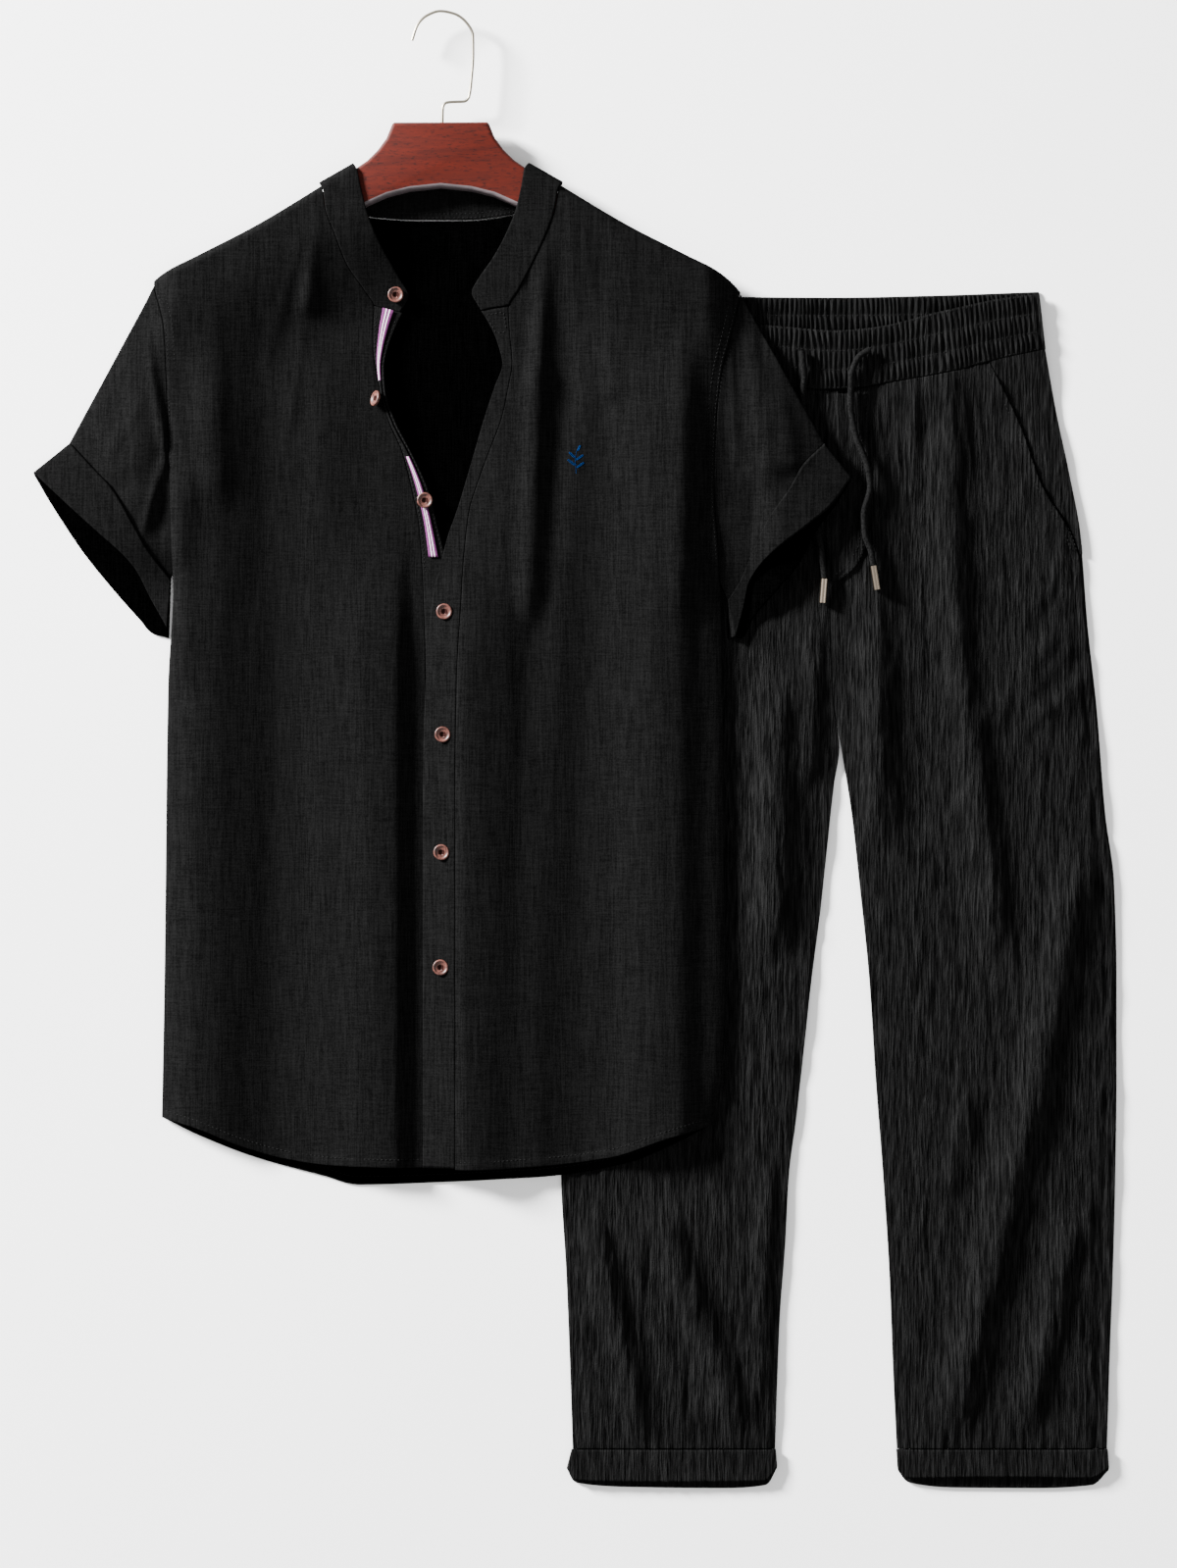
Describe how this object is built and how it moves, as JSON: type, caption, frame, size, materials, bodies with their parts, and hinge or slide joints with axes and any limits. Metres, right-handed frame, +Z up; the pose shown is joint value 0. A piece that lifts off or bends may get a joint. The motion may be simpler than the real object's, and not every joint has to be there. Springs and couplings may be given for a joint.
{
  "type": "shirt and trousers set with a clothes hanger, laid flat",
  "caption": "Band-collar short-sleeved shirt on a wooden hanger, laid flat over gathered drawstring trousers with turned-up cuffs",
  "frame": {"origin": "on the surface that the set lies on, under the middle of the whole set", "axes": "+Y from the trousers' hems to the hanger's hook, +X to the viewer's right, +Z up from the surface"},
  "size_m": [0.862, 1.175, 0.0235],
  "materials": {
    "shirt_linen": "black slub linen, plain weave",
    "trouser_crinkle": "black crinkle cotton",
    "striped_tape": "woven tape with two white stripes and plum edges",
    "button": "rose-brown moulded button",
    "hanger_wood": "red-brown stained and lacquered wood",
    "hook_wire": "dull steel wire",
    "drawcord": "black braided cotton cord",
    "cord_tip": "pale gold plated metal"
  },
  "bodies": {
    "root": {"shirt_back": "shirt_linen", "shirt_front_button_side": "shirt_linen", "shirt_front_hole_side": "shirt_linen", "shirt_collar_band": "shirt_linen", "shirt_sleeve_left": "shirt_linen", "shirt_sleeve_right": "shirt_linen", "shirt_cuff_left": "shirt_linen", "shirt_cuff_right": "shirt_linen", "shirt_placket": "shirt_linen", "shirt_button_stand": "shirt_linen", "shirt_stand_tape": "striped_tape", "shirt_button_1": "button", "shirt_button_2": "button", "shirt_button_3": "button", "shirt_button_4": "button", "shirt_button_5": "button", "shirt_button_6": "button", "shirt_button_7": "button", "hanger_arms": "hanger_wood", "hanger_hook": "hook_wire", "trouser_front_left": "trouser_crinkle", "trouser_front_right": "trouser_crinkle", "trouser_back_left": "trouser_crinkle", "trouser_back_right": "trouser_crinkle", "trouser_waistband_front": "trouser_crinkle", "trouser_waistband_back": "trouser_crinkle", "trouser_fly": "trouser_crinkle", "trouser_pocket_left": "trouser_crinkle", "trouser_pocket_right": "trouser_crinkle", "trouser_cuff_left": "trouser_crinkle", "trouser_cuff_right": "trouser_crinkle", "drawcord_left": "drawcord", "drawcord_right": "drawcord", "drawcord_tip_left": "cord_tip", "drawcord_tip_right": "cord_tip"}
  },
  "joints": []
}
